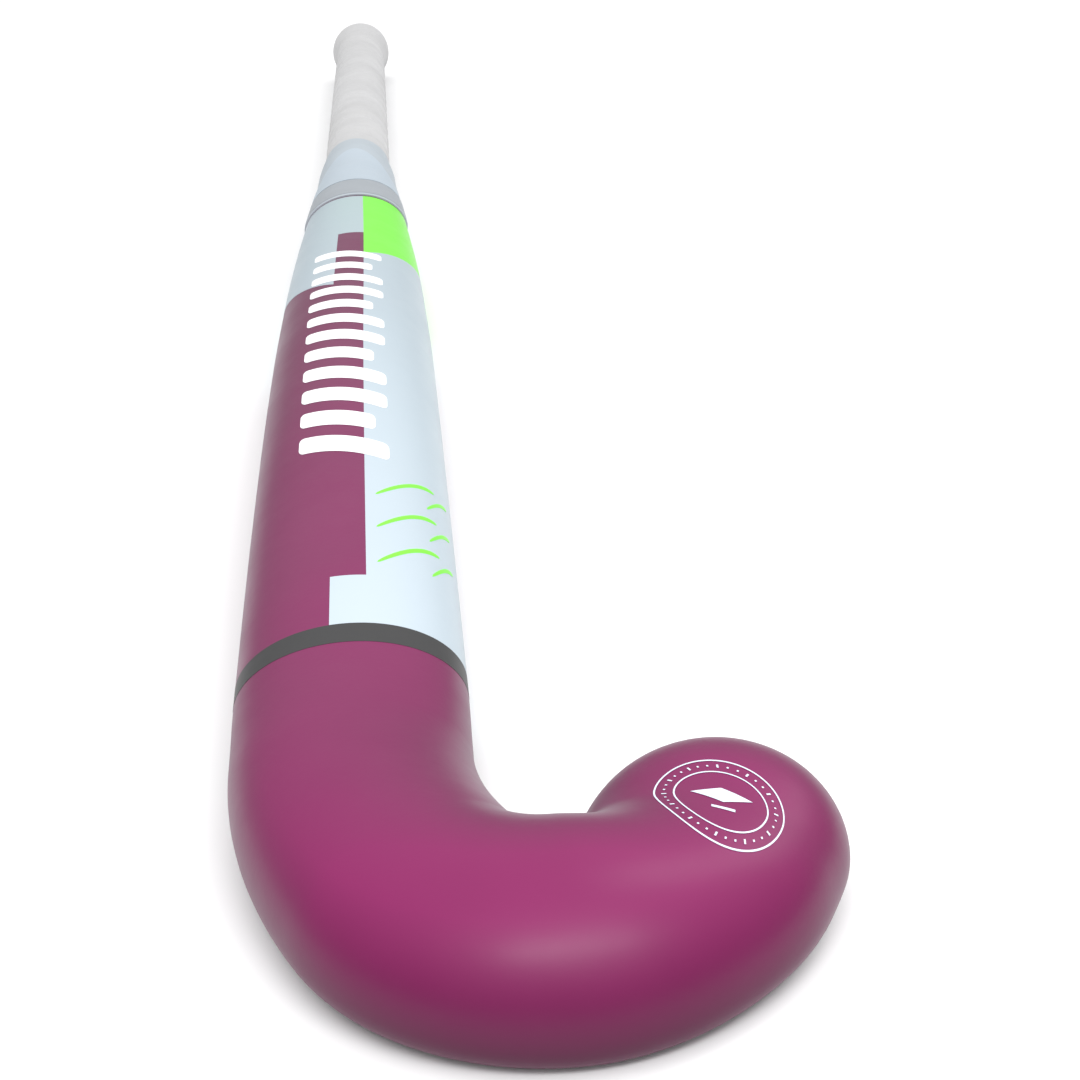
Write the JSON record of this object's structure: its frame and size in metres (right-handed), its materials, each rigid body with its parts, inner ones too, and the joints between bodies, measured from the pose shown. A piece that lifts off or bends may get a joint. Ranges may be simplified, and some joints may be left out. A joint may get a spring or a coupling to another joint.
{
  "type": "field hockey stick",
  "caption": "Field hockey stick with a flat playing face, rounded back, tightly curved hook, bowed twin-tube composite shaft and a tape-wrapped round handle.",
  "frame": {"origin": "middle of the stick's footprint on the surface it lies on, face down: half-way along its length and half-way across its overall width, at the height of the lowest point of the hook and of the bulb at the butt", "axes": "+Y from the foot of the hook up the shaft to the butt, +X to the side that the toe turns to, +Z away from the surface, out of the rounded back; the flat playing face looks down, along -Z"},
  "size_m": [0.1053, 0.9272, 0.0387],
  "materials": {
    "plum_laminate": "satin",
    "carbon_tube": "matte",
    "core_foam": "matte",
    "aramid_patch": "matte",
    "damping_rubber": "matte",
    "butt_cap_plastic": "matte",
    "underlay_foam": "matte",
    "grip_tape": "matte",
    "collar_tape": "matte",
    "cuff_tape": "matte",
    "label_film": "satin",
    "ring_print": "satin",
    "blue_print": "satin",
    "green_print": "satin",
    "bar_print": "satin",
    "wave_print": "satin",
    "roundel_print": "satin"
  },
  "bodies": {
    "root": {"outer_shell": "plum_laminate", "tube_toe_side": "carbon_tube", "tube_heel_side": "carbon_tube", "hook_core": "core_foam", "heel_patch": "aramid_patch", "damping_plug": "damping_rubber", "butt_cap": "butt_cap_plastic", "grip_underlay": "underlay_foam", "grip_wrap": "grip_tape", "collar_tape": "collar_tape", "collar_cuff": "cuff_tape", "collar_label": "label_film", "dark_ring": "ring_print", "blue_panel": "blue_print", "green_panel": "green_print", "shaft_bars": "bar_print", "wave_marks": "wave_print", "toe_roundel": "roundel_print"}
  },
  "joints": []
}
